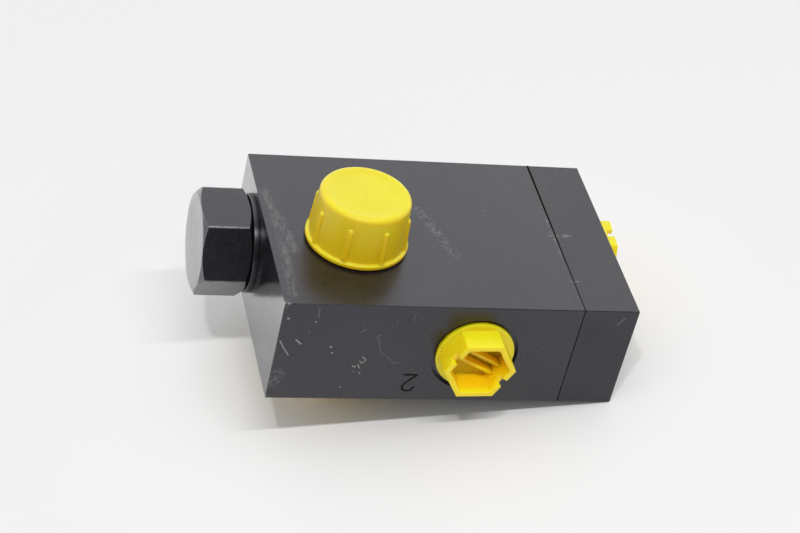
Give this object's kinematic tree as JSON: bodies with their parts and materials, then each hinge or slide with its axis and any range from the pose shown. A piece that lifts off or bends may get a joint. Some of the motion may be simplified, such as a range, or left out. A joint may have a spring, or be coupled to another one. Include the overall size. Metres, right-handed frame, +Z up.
{
  "type": "non-return valve",
  "caption": "Square-sided steel check valve block with a bolted inlet cover, hexagon bonnet plug and yellow plastic port closures round a sprung poppet.",
  "frame": {"origin": "centre of the four tapped mounting holes on the mounting face", "axes": "+Y out of the mounting face, +X along the flow bore from the hexagon plug towards the inlet, +Z up"},
  "size_m": [0.1852, 0.1106, 0.0984],
  "materials": {
    "block_steel": "milled steel, satin black phosphate",
    "plug_steel": "turned and milled steel, satin black phosphate",
    "screw_steel": "black oxide",
    "ground_steel": "hardened and ground, bright",
    "spring_steel": "drawn wire, lightly oiled",
    "nipple_steel": "zinc plated",
    "seal_rubber": "matt nitrile rubber",
    "backup_plastic": "white PTFE",
    "yellow_plastic": "moulded polyethylene, soft sheen"
  },
  "bodies": {
    "valve_body": {"valve_block": "block_steel", "end_plate": "block_steel", "bonnet_plug": "plug_steel", "bonnet_seal_ring": "plug_steel", "cover_screws": "screw_steel", "dowel_pins": "ground_steel", "seat_insert": "ground_steel", "spring_guide": "ground_steel", "poppet_spring": "spring_steel", "top_port_nipple": "nipple_steel", "bottom_port_nipple": "nipple_steel", "top_port_seal": "seal_rubber", "bottom_port_seal": "seal_rubber", "seat_o_ring": "seal_rubber", "inlet_o_ring": "seal_rubber", "cross_bore_o_ring": "seal_rubber", "seat_backup_ring": "backup_plastic"},
    "poppet_body": {"poppet": "ground_steel"},
    "top_cap_body": {"top_port_cap": "yellow_plastic"},
    "bottom_cap_body": {"bottom_port_cap": "yellow_plastic"},
    "outlet_stopper_body": {"outlet_stopper": "yellow_plastic"},
    "inlet_stopper_body": {"inlet_stopper": "yellow_plastic"}
  },
  "joints": [
    {"name": "poppet_lift", "type": "slide", "parent": "valve_body", "child": "poppet_body", "axis": [-1, 0, 0], "range_m": [0, 0.0075], "stiffness_N_per_m": 5100, "springref_m": -0.0018, "deforming": ["poppet_spring"]},
    {"name": "top_cap_off", "type": "slide", "parent": "valve_body", "child": "top_cap_body", "axis": [0, 0, 1], "range_m": [0, 0.022]},
    {"name": "bottom_cap_off", "type": "slide", "parent": "valve_body", "child": "bottom_cap_body", "axis": [0, 0, -1], "range_m": [0, 0.022]},
    {"name": "outlet_stopper_out", "type": "slide", "parent": "valve_body", "child": "outlet_stopper_body", "axis": [0, -1, 0], "range_m": [0, 0.015]},
    {"name": "inlet_stopper_out", "type": "slide", "parent": "valve_body", "child": "inlet_stopper_body", "axis": [1, 0, 0], "range_m": [0, 0.014]}
  ]
}
